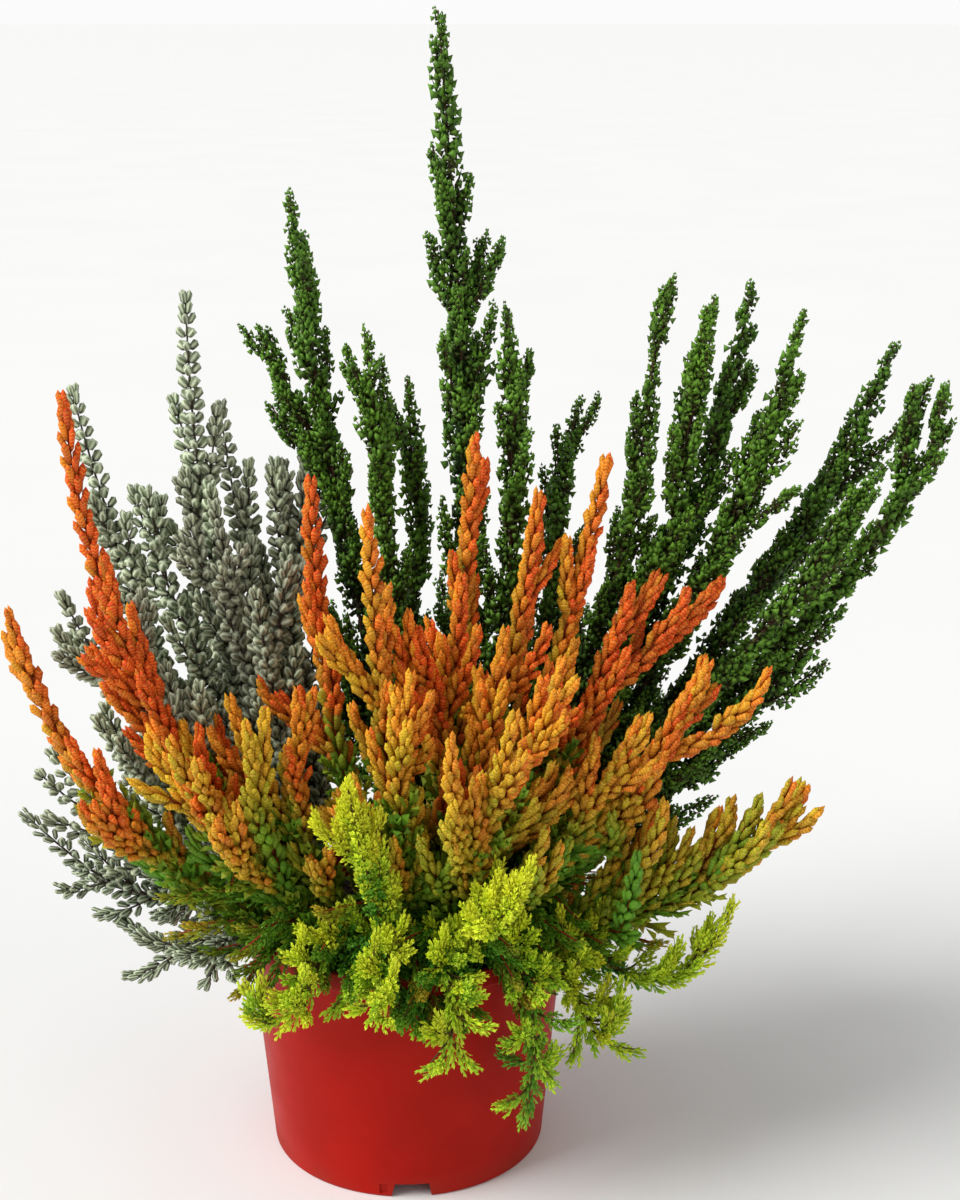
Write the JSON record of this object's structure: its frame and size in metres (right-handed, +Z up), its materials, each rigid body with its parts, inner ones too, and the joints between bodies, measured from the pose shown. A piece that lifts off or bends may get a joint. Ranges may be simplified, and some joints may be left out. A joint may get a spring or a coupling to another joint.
{
  "type": "potted heather",
  "caption": "Mixed potted heathers in silver-grey, dark green and orange-red, with bud-clad upright spikes, planted together in a red tapered plastic nursery pot.",
  "frame": {"origin": "middle of the pot's underside, on the surface that the pot stands on", "axes": "+Z up along the pot's axis, -Y towards the front with the orange plant, +X towards the right side of the green plant"},
  "size_m": [0.373, 0.2446, 0.456],
  "materials": {
    "pot_plastic": "satin",
    "compost": "matte",
    "green_foliage": "matte",
    "silver_foliage": "matte",
    "orange_foliage": "matte",
    "lime_foliage": "matte"
  },
  "bodies": {
    "root": {"compost": "compost", "green_spray_01": "green_foliage", "green_spray_02": "green_foliage", "green_spray_03": "green_foliage", "green_spray_04": "green_foliage", "green_spray_05": "green_foliage", "green_spray_06": "green_foliage", "green_spray_07": "green_foliage", "green_spray_08": "green_foliage", "green_spray_09": "green_foliage", "green_spray_10": "green_foliage", "green_spray_11": "green_foliage", "green_spray_12": "green_foliage", "green_spray_13": "green_foliage", "green_spray_14": "green_foliage", "green_spray_15": "green_foliage", "green_spray_16": "green_foliage", "green_spray_17": "green_foliage", "green_spray_18": "green_foliage", "lime_spray_01": "lime_foliage", "lime_spray_02": "lime_foliage", "lime_spray_03": "lime_foliage", "lime_spray_04": "lime_foliage", "lime_spray_05": "lime_foliage", "lime_spray_06": "lime_foliage", "lime_spray_07": "lime_foliage", "lime_spray_08": "lime_foliage", "orange_spray_01": "orange_foliage", "orange_spray_02": "orange_foliage", "orange_spray_03": "orange_foliage", "orange_spray_04": "orange_foliage", "orange_spray_05": "orange_foliage", "orange_spray_06": "orange_foliage", "orange_spray_07": "orange_foliage", "orange_spray_08": "orange_foliage", "orange_spray_09": "orange_foliage", "orange_spray_10": "orange_foliage", "orange_spray_11": "orange_foliage", "orange_spray_12": "orange_foliage", "orange_spray_13": "orange_foliage", "orange_spray_14": "orange_foliage", "orange_spray_15": "orange_foliage", "orange_spray_16": "orange_foliage", "orange_spray_17": "orange_foliage", "orange_spray_18": "orange_foliage", "pot": "pot_plastic", "silver_spray_01": "silver_foliage", "silver_spray_02": "silver_foliage", "silver_spray_03": "silver_foliage", "silver_spray_04": "silver_foliage", "silver_spray_05": "silver_foliage", "silver_spray_06": "silver_foliage", "silver_spray_07": "silver_foliage", "silver_spray_08": "silver_foliage", "silver_spray_09": "silver_foliage", "silver_spray_10": "silver_foliage", "silver_spray_11": "silver_foliage", "silver_spray_12": "silver_foliage", "silver_spray_13": "silver_foliage", "silver_spray_14": "silver_foliage"}
  },
  "joints": []
}
